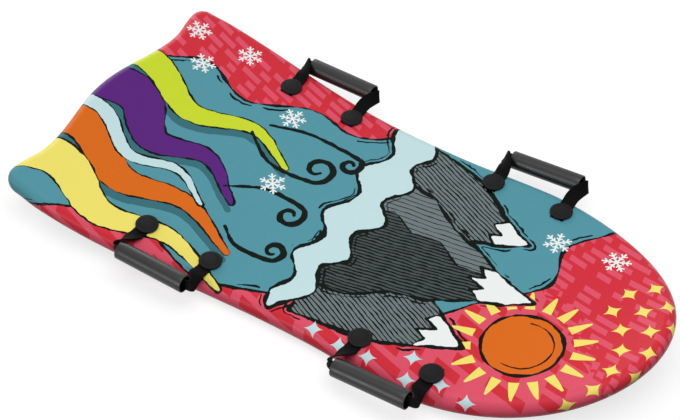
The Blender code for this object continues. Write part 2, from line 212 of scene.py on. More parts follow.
class Nodes:
    """Short ways to make the nodes of a material or a world and to link them."""

    def __init__(self, owner):
        self.owner = owner
        owner.use_nodes = True
        self.tree = owner.node_tree

    def put(self, socket, value):
        if isinstance(value, bpy.types.NodeSocket):
            self.tree.links.new(value, socket)
        else:
            socket.default_value = value

    def node(self, kind, inputs, **settings):
        """New node. An input is given by its name or its number."""
        made = self.tree.nodes.new(kind)
        for key, value in settings.items():
            setattr(made, key, value)
        for key, value in inputs.items():
            self.put(made.inputs[key], value)
        return made

    def math(self, operation, first, second=0.0):
        return self.node("ShaderNodeMath", {0: first, 1: second}, operation=operation).outputs[0]

    def plus(self, first, second):
        return self.math("ADD", first, second)

    def minus(self, first, second):
        return self.math("SUBTRACT", first, second)

    def times(self, first, second):
        return self.math("MULTIPLY", first, second)

    def per(self, first, second):
        return self.math("DIVIDE", first, second)

    def absolute(self, value):
        return self.math("ABSOLUTE", value)

    def below(self, value, limit):
        return self.math("LESS_THAN", value, limit)

    def above(self, value, limit):
        return self.math("GREATER_THAN", value, limit)

    def near(self, value, middle, reach):
        """1 where the value is less than the reach from the middle, else 0."""
        return self.below(self.absolute(self.minus(value, middle)), reach)

    def every(self, *tests):
        held = tests[0]
        for test in tests[1:]:
            held = self.times(held, test)
        return held

    def rotated(self, u, v, cosine, sine):
        """Where (u, v) lies along and across axes turned by the angle with that cosine and sine."""
        along = self.plus(self.times(u, cosine), self.times(v, sine))
        return along, self.minus(self.times(v, cosine), self.times(u, sine))

    def scaled(self, vector, scale):
        return self.node("ShaderNodeVectorMath", {0: vector, 1: scale}, operation="MULTIPLY").outputs[0]

    def axes(self, vector):
        return self.node("ShaderNodeSeparateXYZ", {"Vector": vector}).outputs

    def attribute(self, name, output="Fac"):
        return self.node("ShaderNodeAttribute", {}, attribute_name=name).outputs[output]

    def place(self):
        return self.node("ShaderNodeTexCoord", {}).outputs["Object"]

    def noise(self, vector, scale, detail, roughness=0.5):
        values = {"Vector": vector, "Scale": scale, "Detail": detail, "Roughness": roughness}
        return self.node("ShaderNodeTexNoise", values).outputs["Fac"]

    def cells(self, vector, scale):
        return self.node("ShaderNodeTexVoronoi", {"Vector": vector, "Scale": scale}).outputs["Distance"]

    def dice(self, dimensions, inputs):
        """A number from 0 to 1 that stays the same for the same inputs."""
        return self.node("ShaderNodeTexWhiteNoise", inputs, noise_dimensions=dimensions).outputs["Value"]

    def blend(self, share, first, second):
        """Colour between two others. A Mix node's sockets for colours are 6, 7 and 2."""
        return self.node("ShaderNodeMix", {0: share, 6: first, 7: second}, data_type="RGBA").outputs[2]

    def span(self, value, low, high, new_low, new_high):
        values = {0: value, 1: low, 2: high, 3: new_low, 4: new_high}
        return self.node("ShaderNodeMapRange", values).outputs[0]

    def seen(self):
        """1 for what the camera sees, directly, mirrored or through something clear, else 0."""
        rays = self.node("ShaderNodeLightPath", {}).outputs
        mirrored = self.math("MAXIMUM", rays["Is Glossy Ray"], rays["Is Transmission Ray"])
        return self.math("MAXIMUM", rays["Is Camera Ray"], mirrored)

    def set(self, **values):
        for key, value in values.items():
            self.put(self.tree.nodes["Principled BSDF"].inputs[key.replace("_", " ")], value)

    def bump(self, height, distance, strength):
        made = self.node("ShaderNodeBump", {"Height": height, "Distance": distance, "Strength": strength})
        self.set(Normal=made.outputs[0])


# The deck's print: signed distances to each shape, kept on the mesh and coloured by the material

MILLIMETRE = 0.001
FAR_OFF = 9000.0
SHORTEST = 1e-12


def curve_point(a, b, c, d, share):
    """Point between b and c on the smooth line through a, b, c and d."""
    return 0.5 * (2 * b + (c - a) * share + (2 * a - 5 * b + 4 * c - d) * share ** 2
                  + (3 * b - 3 * c + d - a) * share ** 3)


def closed_curve(points, steps=6):
    """Smooth closed line through the given points."""
    knots = np.array(points, float)
    out = []
    for index in range(len(knots)):
        corners = [knots[(index + offset) % len(knots)] for offset in (-1, 0, 1, 2)]
        out += [curve_point(*corners, step / steps) for step in range(steps)]
    return np.array(out)


def open_curve(points, steps=8):
    """Smooth open line through the given points."""
    knots = np.array(points, float)
    knots = np.vstack([2 * knots[0] - knots[1], knots, 2 * knots[-1] - knots[-2]])
    out = []
    for index in range(1, len(knots) - 2):
        out += [curve_point(*knots[index - 1:index + 3], step / steps) for step in range(steps)]
    return np.array(out + [knots[-2]])


def stretch_distance(spots, a, b):
    """Distance to the straight stretch from a to b, and how far along it the nearest point lies."""
    run = b - a
    gap = spots - a
    share = np.clip(gap @ run / max(run @ run, SHORTEST), 0, 1)
    return np.hypot(*(gap - share[:, None] * run).T), share


def area_distance(spots, points):
    """Signed distance to a closed line, negative inside."""
    line = np.array(points, float)
    best = np.full(len(spots), FAR_OFF)
    inside = np.zeros(len(spots), bool)
    for a, b in zip(line, np.roll(line, -1, axis=0)):
        best = np.minimum(best, stretch_distance(spots, a, b)[0])
        if a[1] != b[1]:
            crosses = (spots[:, 1] >= min(a[1], b[1])) & (spots[:, 1] < max(a[1], b[1]))
            inside ^= crosses & (spots[:, 0] < a[0] + (spots[:, 1] - a[1]) * (b[0] - a[0]) / (b[1] - a[1]))
    return np.where(inside, -best, best)


def stroke_distance(spots, line, widths):
    """Signed distance to a line drawn with a width that changes along it."""
    best = np.full(len(spots), FAR_OFF)
    half = np.interp(np.linspace(0, 1, len(line)), np.linspace(0, 1, len(widths)), widths) / 2
    for a, b, wide, after in zip(line, line[1:], half, half[1:]):
        distance, share = stretch_distance(spots, a, b)
        best = np.minimum(best, distance - (wide + (after - wide) * share))
    return best


def union(*distances):
    return np.minimum.reduce(distances)


def nearest(spots, places, size):
    """Each spot in the frame of its nearest motif, and its distance to it, in shares of the size."""
    best = np.full(len(spots), FAR_OFF)
    local = np.zeros((len(spots), 3))
    for x, y, turn in places:
        gap = spots - (x, y)
        distance = np.hypot(*gap.T)
        angle = math.radians(turn)
        along = gap[:, 0] * math.cos(angle) + gap[:, 1] * math.sin(angle)
        across = gap[:, 1] * math.cos(angle) - gap[:, 0] * math.sin(angle)
        mine = distance < best
        best[mine] = distance[mine]
        local[mine] = np.stack([along, across, distance], axis=1)[mine] / size
    return local


# Small motifs as (x, y, turn in degrees), the sun, and the middle of the arcs of sparkles round it
FLAKES = ((-0.158, -0.004, 8), (-0.215, 0.132, 22), (0.362, 0.132, 15), (-0.352, 0.205, 5),
          (0.268, 0.128, 40), (-0.450, 0.196, 25), (-0.400, 0.140, 18))
FLAKE_SIZE, SPARKLE_SIZE, SPARKLE_TURN = 0.024, 0.0150, 20
SUN_X, SUN_Y = 0.322, -0.078
SUN_RADIUS, SUN_CORE = 0.058, 0.044
RAY_FOOT, RAY_TIP, RAY_COUNT = 0.071, 0.104, 18
ARCS_X, ARCS_Y = SUN_X - 0.004, SUN_Y + 0.008


def sparkle_places():
    """Small four-pointed sparkles: yellow in arcs round the sun, pale along the near side."""
    yellow = []
    for radius, start, pitch, count in ((0.136, -36, 17.5, 6), (0.173, -43, 14.5, 8), (0.208, 31, 12.0, 3)):
        for index in range(count):
            turn = start + pitch * index
            x = ARCS_X + radius * math.cos(math.radians(turn))
            y = ARCS_Y + radius * math.sin(math.radians(turn))
            yellow.append((x, y, turn))
    pale = ((0.058, -0.208), (0.104, -0.213), (0.150, -0.209), (0.204, -0.176), (0.216, -0.214),
            (0.262, -0.197), (0.306, -0.206))
    return {"yellow": yellow, "pale": [(x, y, SPARKLE_TURN) for x, y in pale]}


def red_grounds(spots):
    """The red ground along the near side and the nose, and the one at the far side of the tail."""
    nose = closed_curve([(-430, -340), (-370, -232), (-260, -196), (-150, -222), (-50, -196),
                         (30, -150), (100, -172), (170, -118), (235, -30), (300, 45), (285, 125),
                         (335, 200), (360, 340), (620, 340), (620, -340)])
    tail = closed_curve([(-600, 340), (-600, 75), (-470, 105), (-395, 150), (-300, 118), (-200, 168),
                         (-115, 158), (-50, 205), (-10, 340)])
    return {"red": union(area_distance(spots, nose), area_distance(spots, tail))}


def ribbons(spots):
    """Wavy ribbons from the tail, each with its widths along it, and the shadow of three of them."""
    lines = {
        "purple": ([(-560, -20), (-440, 15), (-360, -45), (-270, -20), (-185, -75)],
                   (85, 78, 50, 28, 10)),
        "orange": ([(-560, -115), (-450, -90), (-350, -140), (-240, -115), (-130, -160)],
                   (75, 70, 52, 30, 10)),
        "lime": ([(-560, 95), (-450, 85), (-350, 40), (-250, 75), (-160, 35)],
                 (60, 52, 40, 24, 10)),
        "yellow": ([(-560, -215), (-440, -170), (-330, -212), (-220, -185), (-100, -222)],
                   (90, 70, 48, 30, 10)),
        "pale": ([(-560, -70), (-460, -45), (-370, -93), (-290, -70), (-220, -105)],
                 (30, 26, 22, 16, 8)),
    }
    shift = (4, -15)
    shaded = [lines[name] for name in ("purple", "orange", "lime")]
    dusk = union(*(stroke_distance(spots - shift, open_curve(line), widths) for line, widths in shaded))
    return {"dusk": dusk, **{name: stroke_distance(spots, open_curve(line), widths)
                             for name, (line, widths) in lines.items()}}


def peaks(spots):
    """Two peaks behind, one in front with its shaded side, and the snow caps of all three."""
    back = [(-10, 212), (85, 190), (120, 176), (175, 135), (235, 102), (205, 80), (165, 66), (120, 30),
            (140, 0), (160, -60), (215, -98), (255, -125), (205, -150), (150, -178), (100, -190),
            (10, -200), (-10, -120), (-30, 20), (-15, 120)]
    near_slope = [(300, 2), (262, -22), (215, -40), (160, -75), (110, -88), (60, -128), (-10, -140),
                  (-35, -60)]
    front = [(0, 120), (70, 108), (125, 70), (180, 52), (235, 22), *near_slope, (-40, 30)]
    shade = [*near_slope, (-30, 20), (30, 52), (75, 28), (120, 36), (165, 8), (215, 14)]
    caps = [
        [(300, 2), (262, -22), (228, -36), (206, -22), (222, -10), (190, -2), (212, 10), (196, 26),
         (222, 30), (262, 14)],
        [(235, 102), (210, 83), (190, 75), (172, 90), (190, 98), (168, 112), (186, 130), (205, 118)],
        [(255, -125), (215, -98), (195, -88), (182, -104), (204, -114), (180, -128), (198, -138),
         (188, -160), (210, -147)],
    ]
    snow = union(*(area_distance(spots, cap) for cap in caps))
    areas = {"back_peaks": back, "front_peak": front, "shade": shade}
    return {**{name: area_distance(spots, area) for name, area in areas.items()}, "snow": snow}


def drift(spots):
    """A long drift of snow across the deck at the foot of the peaks."""
    line = closed_curve([(-45, 262), (-4, 225), (20, 185), (2, 150), (28, 105), (4, 60), (34, 20),
                         (4, -25), (28, -70), (0, -105), (20, -150), (-4, -190), (-22, -212),
                         (-36, -180), (-22, -140), (-52, -100), (-30, -50), (-62, -5), (-36, 50),
                         (-68, 100), (-40, 150), (-66, 205)])
    return {"drift": area_distance(spots, line)}


def curls(spots):
    """Curls of wind: a tail in two points, and a spiral round a middle that closes as it turns."""
    widths = (5, 9, 11, 10, 8, 5)
    steps, turn, closing = 9, math.radians(52), 11
    strokes = []
    for start, bend, middle, radius, turn_way in (
        ((-250, 68), (-190, 30), (-118, 62), 30, 1),
        ((-235, 98), (-170, 120), (-82, 98), 20, -1),
        ((-215, -52), (-160, -20), (-98, -44), 25, -1),
        ((-165, -118), (-130, -140), (-76, -118), 20, 1),
    ):
        line = [start, bend]
        for step in range(steps):
            angle = turn_way * (step * turn - QUARTER)
            reach = radius * (1 - step / closing)
            line.append((middle[0] + reach * math.cos(angle), middle[1] + reach * math.sin(angle)))
        strokes.append(stroke_distance(spots, open_curve(line, 5), widths))
    return {"curls": union(*strokes)}


def print_distances(spots):
    """Distances to every large shape of the print, by name, from the bottom one up. All in mm."""
    shapes = {}
    for layer in (red_grounds, ribbons, peaks, drift, curls):
        shapes.update(layer(spots))
    return shapes


# The print's inks
TEAL = linear(85, 151, 165)
DUSK = linear(58, 112, 122)
RED = linear(211, 48, 62)
PINK = linear(224, 84, 106)
ORANGE = linear(221, 108, 28)
PURPLE = linear(92, 36, 126)
YELLOW = linear(243, 229, 110)
LIME = linear(204, 221, 50)
PALE = linear(198, 226, 229)
WHITE = linear(238, 242, 241)
SLATE = linear(72, 82, 82)
STONE = linear(112, 124, 126)
INK = linear(1, 12, 5)


class DeckPrint(Nodes):
    """The print's nodes: places on it, and what makes its outlines look drawn by hand."""

    def __init__(self, owner):
        super().__init__(owner)
        self.flat = self.attribute("flat", "Vector")
        self.x, self.y, _ = self.axes(self.flat)
        wander, thinnest, thickest = 0.0055, 0.25, 1.75
        self.wobble = self.times(self.minus(self.noise(self.flat, 55.0, 3.0), 0.5), wander)
        self.nib = self.span(self.noise(self.flat, 34.0, 2.0), 0.30, 0.70, thinnest, thickest)
        self.broken = self.above(self.noise(self.flat, 17.0, 1.0), 0.50)


def brick_rows(n, lean, length, pitch, seed, skew=0.45, fill=0.31):
    """Rows of slanted bricks, each of its own length, some left out."""
    left_out, shortest, longest = 0.15, 0.34, 0.90
    along, across = n.rotated(n.x, n.y, math.cos(lean), math.sin(lean))
    along = n.plus(along, n.times(across, skew))
    row = n.per(across, pitch)
    number = n.math("FLOOR", row)
    shift = n.dice("1D", {"W": number})
    place = n.plus(n.per(along, length), shift)
    cell = n.node("ShaderNodeCombineXYZ", {"X": n.math("FLOOR", place), "Y": number, "Z": seed})
    chance = n.dice("3D", {"Vector": cell.outputs[0]})
    reach = n.span(chance, left_out, 1.0, shortest, longest)
    in_length = n.near(n.math("FRACT", place), 0.5, n.times(reach, 0.5))
    in_row = n.near(n.math("FRACT", row), 0.5, fill)
    return n.every(in_length, in_row, n.above(chance, left_out))


def red_print(n):
    """Red bricks on pink; pink chips on red at the far side and, past a toothed border, at the nose."""
    nose_start, nose_slope, far_start, tooth, lean = 0.330, 1.15, 0.05, 0.045, math.radians(-16)
    teeth = n.times(brick_rows(n, math.radians(8), 0.030, 0.020, 5.0, skew=0.0, fill=0.36), tooth)
    toward_nose = n.plus(n.x, n.times(n.y, nose_slope))
    at_nose = n.above(toward_nose, n.plus(nose_start, teeth))
    mostly_red = n.math("MAXIMUM", at_nose, n.above(n.y, far_start))
    bricks = brick_rows(n, lean, 0.078, 0.0270, 3.0)
    chips = brick_rows(n, lean, 0.050, 0.0165, 9.0)
    return n.blend(mostly_red, n.blend(bricks, PINK, RED), n.blend(chips, RED, PINK))


def hatching(n, lean, pitch, share, light):
    """Ink lines drawn by hand over a light tone; the share is the part of each pitch that is ink."""
    sway, thinnest, thickest = 0.006, 0.6, 1.4
    run = n.plus(n.times(n.x, math.sin(lean)), n.times(n.y, math.cos(lean)))
    run = n.plus(run, n.times(n.noise(n.flat, 24.0, 2.0), sway))
    thick = n.times(n.span(n.noise(n.flat, 70.0, 2.0), 0.3, 0.7, thinnest, thickest), share)
    return n.blend(n.below(n.math("FRACT", n.per(run, pitch)), thick), light, INK)


def draw_shapes(n, colour):
    """Every large shape in its tone with an ink outline of the given width, from the bottom one up."""
    second_gap, second_sway, second_width = 0.0045, 0.0030, 0.0012
    tones = {
        "red": (red_print(n), 0.0022),
        "dusk": (DUSK, 0.0),
        "purple": (PURPLE, 0.0014),
        "orange": (ORANGE, 0.0014),
        "lime": (LIME, 0.0014),
        "yellow": (YELLOW, 0.0014),
        "pale": (PALE, 0.0012),
        "back_peaks": (hatching(n, math.radians(24), 0.0062, 0.34, STONE), 0.0030),
        "front_peak": (hatching(n, math.radians(-8), 0.0090, 0.16, STONE), 0.0034),
        "shade": (hatching(n, math.radians(-12), 0.0060, 0.46, SLATE), 0.0014),
        "snow": (WHITE, 0.0022),
        "drift": (PALE, 0.0030),
        "curls": (INK, 0.0),
    }
    for name, (tone, ink) in tones.items():
        gap = n.plus(n.attribute("print_" + name), n.wobble)
        colour = n.blend(n.below(gap, 0.0), colour, tone)
        if ink:
            colour = n.blend(n.near(gap, 0.0, n.times(n.nib, ink)), colour, INK)
        if name in ("front_peak", "back_peaks", "drift", "red"):
            away = n.plus(second_gap, n.times(n.nib, second_sway))
            second = n.near(gap, away, n.times(n.nib, second_width))
            colour = n.blend(n.every(second, n.broken), colour, INK)
    return colour


def draw_sun(n, colour):
    """An orange disc with an ink rim and a part ring inside, and yellow rays, behind the peaks."""
    rim_width, core_width, margin, core_start = 0.0022, 0.0011, 0.004, -0.010
    sway, ray_foot_half, ray_tip_half = 0.6, 0.30, 0.04
    rise, drop = n.minus(n.x, SUN_X), n.minus(n.y, SUN_Y)
    away = n.math("SQRT", n.plus(n.times(rise, rise), n.times(drop, drop)))
    away = n.plus(away, n.times(n.wobble, sway))
    behind = n.every(*(n.above(n.attribute(name), margin)
                       for name in ("print_front_peak", "print_back_peaks")))
    ray = n.math("FRACT", n.per(n.math("ARCTAN2", drop, rise), math.tau / RAY_COUNT))
    taper = n.span(away, RAY_FOOT, RAY_TIP, ray_foot_half, ray_tip_half)
    rays = n.every(n.near(ray, 0.5, taper), n.above(away, RAY_FOOT), n.below(away, RAY_TIP))
    core = n.near(away, SUN_CORE, n.times(n.nib, core_width))
    rim = n.near(away, SUN_RADIUS, n.times(n.nib, rim_width))
    for test, tone in ((rays, YELLOW), (n.below(away, SUN_RADIUS), ORANGE),
                       (n.every(core, n.above(rise, core_start)), INK), (rim, INK)):
        colour = n.blend(n.every(test, behind), colour, tone)
    return colour


def draw_sparkles(n, colour):
    """Four-pointed stars with hollow sides."""
    sharpness, reach = 0.60, 0.98
    for name, tone in (("pale", PALE), ("yellow", YELLOW)):
        u, v, away = n.axes(n.attribute("sparkles_" + name, "Vector"))
        sides = n.plus(*(n.math("POWER", n.absolute(side), sharpness) for side in (u, v)))
        colour = n.blend(n.every(n.below(sides, 1.0), n.below(away, reach)), colour, tone)
    return colour


def draw_flakes(n, colour):
    """Snowflakes of six arms, each with two pairs of twigs. Lengths are shares of the flake's size."""
    sixth, lean = math.tau / 6, 0.9
    arm_half, arm_length, twig_half = 0.062, 0.92, 0.05
    u, v, away = n.axes(n.attribute("flakes", "Vector"))
    arm = n.times(n.math("ROUND", n.per(n.math("ARCTAN2", v, u), sixth)), sixth)
    along, across = n.rotated(u, v, n.math("COSINE", arm), n.math("SINE", arm))
    across = n.absolute(across)
    flake = n.every(n.below(across, arm_half), n.below(away, arm_length))
    for foot, length in ((0.30, 0.24), (0.56, 0.30)):
        run, off = n.rotated(n.minus(along, foot), across, math.cos(lean), math.sin(lean))
        twig = n.every(n.near(off, 0.0, twig_half), n.below(run, length), n.above(run, 0.0))
        flake = n.math("MAXIMUM", flake, n.every(twig, n.below(away, 1.0)))
    return n.blend(flake, colour, WHITE)


def print_material():
    """Glossy film printed with the deck's design, over foam whose beads show through faintly."""
    n = DeckPrint(bpy.data.materials.new("printed_film"))
    colour = TEAL
    for draw in (draw_shapes, draw_sun, draw_sparkles, draw_flakes):
        colour = draw(n, colour)
    n.set(Base_Color=colour, Roughness=n.span(n.noise(n.flat, 30.0, 3.0), 0.3, 0.7, 0.24, 0.31))
    n.set(Specular_IOR_Level=0.075)
    n.bump(n.plus(n.times(n.cells(n.flat, 330.0), 0.35), n.noise(n.flat, 90.0, 3.0)), 0.00008, 0.5)
    return n.owner


def rivet_material():
    """Moulded plastic with a fine even grain."""
    n = Nodes(bpy.data.materials.new("rivet_plastic"))
    place = n.place()
    tone = n.noise(place, 60.0, 3.0)
    colour = linear(18, 18, 19)[:3]
    dark, light = (tuple(share * value for value in colour) + (1.0,) for share in (0.82, 1.20))
    n.set(Base_Color=n.blend(tone, dark, light), Roughness=n.span(tone, 0.3, 0.7, 0.41, 0.51))
    n.set(Specular_IOR_Level=0.10)
    n.bump(n.noise(place, 900.0, 2.0), 0.00004, 0.6)
    return n.owner


def grip_material():
    """Smooth soft vinyl with faint marks of its extrusion along the tube."""
    n = Nodes(bpy.data.materials.new("soft_tube"))
    along = n.attribute("tube", "Vector")
    streaks = n.noise(n.scaled(along, (9.0, 1100.0, 1100.0)), 1.0, 2.0)
    cloud = n.noise(along, 60.0, 3.0)
    n.set(Base_Color=n.blend(cloud, linear(9, 9, 10), linear(17, 17, 18)))
    n.set(Roughness=n.span(cloud, 0.3, 0.7, 0.33, 0.40), Specular_IOR_Level=0.46)
    n.bump(streaks, 0.000012, 0.5)
    return n.owner


def webbing_material():
    """Woven webbing: ribs of yarn that pass over and under, with some fuzz, and painted shade in the hollows
    between them.
    """
    n = Nodes(bpy.data.materials.new("woven_webbing"))
    lay = n.attribute("weave", "Vector")
    u, v, _ = n.axes(lay)
    yarn, pick, sway = 0.00125, 0.00150, 0.0005
    across = n.math("SINE", n.times(u, math.pi / yarn))
    ridge = n.absolute(across)
    along = n.math("SINE", n.times(n.plus(v, n.times(ridge, sway)), math.pi / pick))
    height = n.plus(n.times(n.times(across, along), 0.5), n.times(ridge, 0.8))
    fuzz = n.noise(n.scaled(lay, (2600.0, 500.0, 1.0)), 1.0, 2.0)
    height = n.plus(height, n.times(fuzz, 0.25))
    # The weave's height sets the colour: darker in its hollows, which is painted shade, while the fuzz in
    # the height adds a random tone. The same value also sets the roughness.
    shade = n.span(height, -0.2, 1.4, 0.0, 1.0)
    n.set(Base_Color=n.blend(shade, linear(2, 2, 2), linear(15, 15, 15)))
    n.set(Roughness=n.span(shade, 0.0, 1.0, 0.70, 0.50), Specular_IOR_Level=0.04)
    n.bump(height, 0.00022, 0.8)
    return n.owner


def slick_material():
    """Slick polyethylene sheet with fine lengthwise marks."""
    n = Nodes(bpy.data.materials.new("slick_sheet"))
    place = n.place()
    marks = n.noise(n.scaled(place, (5.0, 520.0, 5.0)), 1.0, 4.0, 0.6)
    cloud = n.noise(place, 9.0, 3.0)
    n.set(Base_Color=n.blend(cloud, linear(214, 218, 221), linear(229, 231, 232)))
    n.set(Roughness=n.span(marks, 0.3, 0.7, 0.30, 0.44), Coat_Weight=0.1)
    n.bump(marks, 0.00005, 0.5)
    return n.owner


def foam_material():
    """Closed-cell foam: fused beads."""
    n = Nodes(bpy.data.materials.new("closed_cell_foam"))
    beads = n.cells(n.place(), 300.0)
    n.set(Base_Color=n.blend(beads, linear(236, 236, 233), linear(214, 214, 210)), Roughness=0.85)
    n.bump(beads, 0.0003, 0.6)
    return n.owner


# Mesh helpers

def link(name, mesh, material, body=None):
    """Puts a piece in the scene. A piece that bends between two bodies rides on neither."""
    piece = bpy.data.objects.new(name, mesh)
    bpy.context.scene.collection.objects.link(piece)
    mesh.materials.append(material)
    if body:
        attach(piece, body)
    return piece


def smooth_mesh(name, bm, angle):
    """Mesh of a bmesh, shaded smooth, with sharp edges where faces meet at more than the angle."""
    bmesh.ops.recalc_face_normals(bm, faces=bm.faces[:])
    mesh = bpy.data.meshes.new(name)
    bm.to_mesh(mesh)
    bm.free()
    mesh.shade_smooth()
    mesh.set_sharp_from_angle(angle=math.radians(angle))
    return mesh


def point_places(data, field):
    """The vectors in a field of a mesh's points, one row each."""
    values = np.empty(len(data) * 3, np.float32)
    data.foreach_get(field, values)
    return values.reshape(-1, 3)


def keep_values(mesh, name, values):
    """Keeps a number or a vector for each point of a mesh, for its material."""
    kind, field = ("FLOAT", "value") if values.ndim == 1 else ("FLOAT_VECTOR", "vector")
    layer = mesh.attributes.new(name, kind, "POINT")
    layer.data.foreach_set(field, values.astype(np.float32).ravel())


def join_rings(bm, rings, closed):
    """Faces between each ring of points and the next; a closed ring also joins its two ends."""
    for near, far in zip(rings, rings[1:]):
        for index in range(len(near) - (0 if closed else 1)):
            after = (index + 1) % len(near)
            bm.faces.new((near[index], near[after], far[after], far[index]))


# The printed film

def film_bmesh():
    """Deck, rails and the lap under them. Its flat layer holds each point's place on the print."""
    bm = bmesh.new()
    flat = bm.verts.layers.float_vector.new("flat")

    def vert(x, y, z, u, v):
        made = bm.verts.new((x, y, z + rocker(x)))
        made[flat] = (u, v, 0.0)
        return made

    edge = outline(RAIL)
    tangents = np.gradient(np.array(edge), axis=0)
    tangents[0] = (0.0, 1.0)
    tangents[-1] = (0.0, -1.0)
    tangents /= np.linalg.norm(tangents, axis=1)[:, None]
    for side in (1, -1):
        grid = []
        for step in range(RAIL_STEPS + 1):
            angle = mix(-LAP_ANGLE, QUARTER, step / RAIL_STEPS)
            away = RAIL * (QUARTER - angle)
            height = RAIL + RAIL * math.sin(angle)
            ring = outline(RAIL - RAIL * math.cos(angle))
            grid.append([vert(x, side * y, height, u + away * ty, side * (v - away * tx))
                         for (x, y), (u, v), (tx, ty) in zip(ring, edge, tangents)])
        join_rings(bm, grid, False)

    tail = edge[FILL_INDEX + FILL_STEPS:]
    full = edge[FILL_INDEX][1]
    shares = [1.0] + [y / full for _, y in tail[1:]]
    columns = shares + [-share for share in shares[-2::-1]]
    grid = [[vert(x, y * share, THICKNESS, x, y * share) for share in columns]
            for x, y in edge[1:FILL_INDEX + 1]]
    join_rings(bm, grid, False)
    tip = vert(*edge[0], THICKNESS, *edge[0])
    for first, second in zip(grid[0], grid[0][1:]):
        bm.faces.new((tip, first, second))
    for side in (1, -1):
        grid = []
        for index, (x_end, y_end) in enumerate(tail):
            line = []
            for step in range(FILL_STEPS + 1):
                x = mix(FILL_X, x_end, step / FILL_STEPS)
                y = y_end if index else edge[FILL_INDEX + step][1]
                line.append(vert(x, side * y, THICKNESS, x, side * y))
            grid.append(line)
        join_rings(bm, grid, False)
    bmesh.ops.remove_doubles(bm, verts=bm.verts[:], dist=MERGE_DISTANCE)
    return bm


def keep_print(mesh):
    """Keeps the distances to the print's large shapes and the places of its small motifs."""
    spots = point_places(mesh.attributes["flat"].data, "vector")[:, :2].astype(float)
    for name, gap in print_distances(spots / MILLIMETRE).items():
        keep_values(mesh, "print_" + name, gap * MILLIMETRE)
    keep_values(mesh, "flakes", nearest(spots, FLAKES, FLAKE_SIZE))
    for name, places in sparkle_places().items():
        keep_values(mesh, "sparkles_" + name, nearest(spots, places, SPARKLE_SIZE))


def build_film(material):
    """The printed film, open at the eight rivets."""
    bm = film_bmesh()
    holes = [rivet_frame(row, side, end).translation for row in ROWS for _, side in SIDES for _, end in ENDS]
    gone = [face for face in bm.faces
            if any((face.calc_center_median() - hole).length < FILM_HOLE for hole in holes)]
    bmesh.ops.delete(bm, geom=gone, context="FACES")
    mesh = smooth_mesh("deck_film", bm, 60)
    keep_print(mesh)
    piece = link("deck_film", mesh, material, "board")
    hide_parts("deck_skin")


# Rivets and grips

def turned(name, profile, segments, close=False):
    """Surface turned about Z from (radius, height) pairs; close joins the last pair to the first."""
    bm = bmesh.new()
    rings = []
    for radius, height in profile:
        if radius == 0:
            rings.append([bm.verts.new((0, 0, height))] * segments)
            continue
        ring = []
        for step in range(segments):
            angle = math.tau * step / segments
            ring.append(bm.verts.new((radius * math.cos(angle), radius * math.sin(angle), height)))
        rings.append(ring)
    pairs = list(zip(rings, rings[1:])) + ([(rings[-1], rings[0])] if close else [])
    for low, high in pairs:
        for index in range(segments):
            after = (index + 1) % segments
            corners = [low[index], low[after], high[after], high[index]]
            bm.faces.new([corner for spot, corner in enumerate(corners) if corner not in corners[:spot]])
    return smooth_mesh(name, bm, 40)


def round_steps(points, radius, steps=4):
    """Replaces the marked corners of a profile by small arcs. A point is (r, z, share of the radius)."""
    # An arc takes up no more than this share of each side
    side_share = 0.48
    out = []
    for index, (r, z, share) in enumerate(points):
        if not share:
            out.append((r, z))
            continue
        here = np.array((r, z))
        before = np.array(points[index - 1][:2]) - here
        after = np.array(points[(index + 1) % len(points)][:2]) - here
        sides = side_share * np.linalg.norm(before), side_share * np.linalg.norm(after)
        reach = min(radius * share, *sides)
        start = here + before / np.linalg.norm(before) * reach
        stop = here + after / np.linalg.norm(after) * reach
        for step in range(steps + 1):
            t = step / steps
            place = start * (1 - t) ** 2 + here * 2 * t * (1 - t) + stop * t ** 2
            out.append((float(place[0]), float(place[1])))
    return out


def cap_mesh():
    """Rivet cap: a low dome with a soft rim, a pressed ring and a small gate mark, on its hollow shank."""
    rim = CAP_SEAT + CAP_RIM_HEIGHT
    crown = rim + CAP_DOME_RISE
    roof = CAP_SEAT - BORE_ROOF
    end = BASE_TOP + SEAT
    gate_radius, gate_floor_radius, gate_depth = 0.0014, 0.0011, 0.00025
    foot_radius, rim_drop = 0.0155, 0.00005
    ring_depth, rounding, segments = 0.0005, 0.0009, 64

    def on_dome(radius, share=0, depth=0.0):
        return radius, rim + (crown - rim) * (1 - (radius / CAP_RADIUS) ** 2) - depth, share

    points = [(0.0, crown - gate_depth, 0), (gate_floor_radius, crown - gate_depth, 0.4),
              on_dome(gate_radius, 0.5)]
    points += [on_dome(radius) for radius in (0.004, 0.007, 0.0095)]
    points += [on_dome(0.0109, 0.6), on_dome(0.0113, 0.6, ring_depth), on_dome(0.0119, 0.6, ring_depth),
               on_dome(0.0123, 0.6), on_dome(0.0145), on_dome(0.0164)]
    points += [(CAP_RADIUS, rim - rim_drop, 1), (CAP_RADIUS, CAP_SEAT, 0.4), (foot_radius, CAP_SEAT, 0),
               (SHANK_RADIUS, CAP_SEAT, 0), (SHANK_RADIUS, end, 0.3), (SHANK_BORE, end, 0.3),
               (SHANK_BORE, roof, 0), (0.0, roof, 0)]
    return turned("rivet_cap", round_steps(points, rounding), segments)


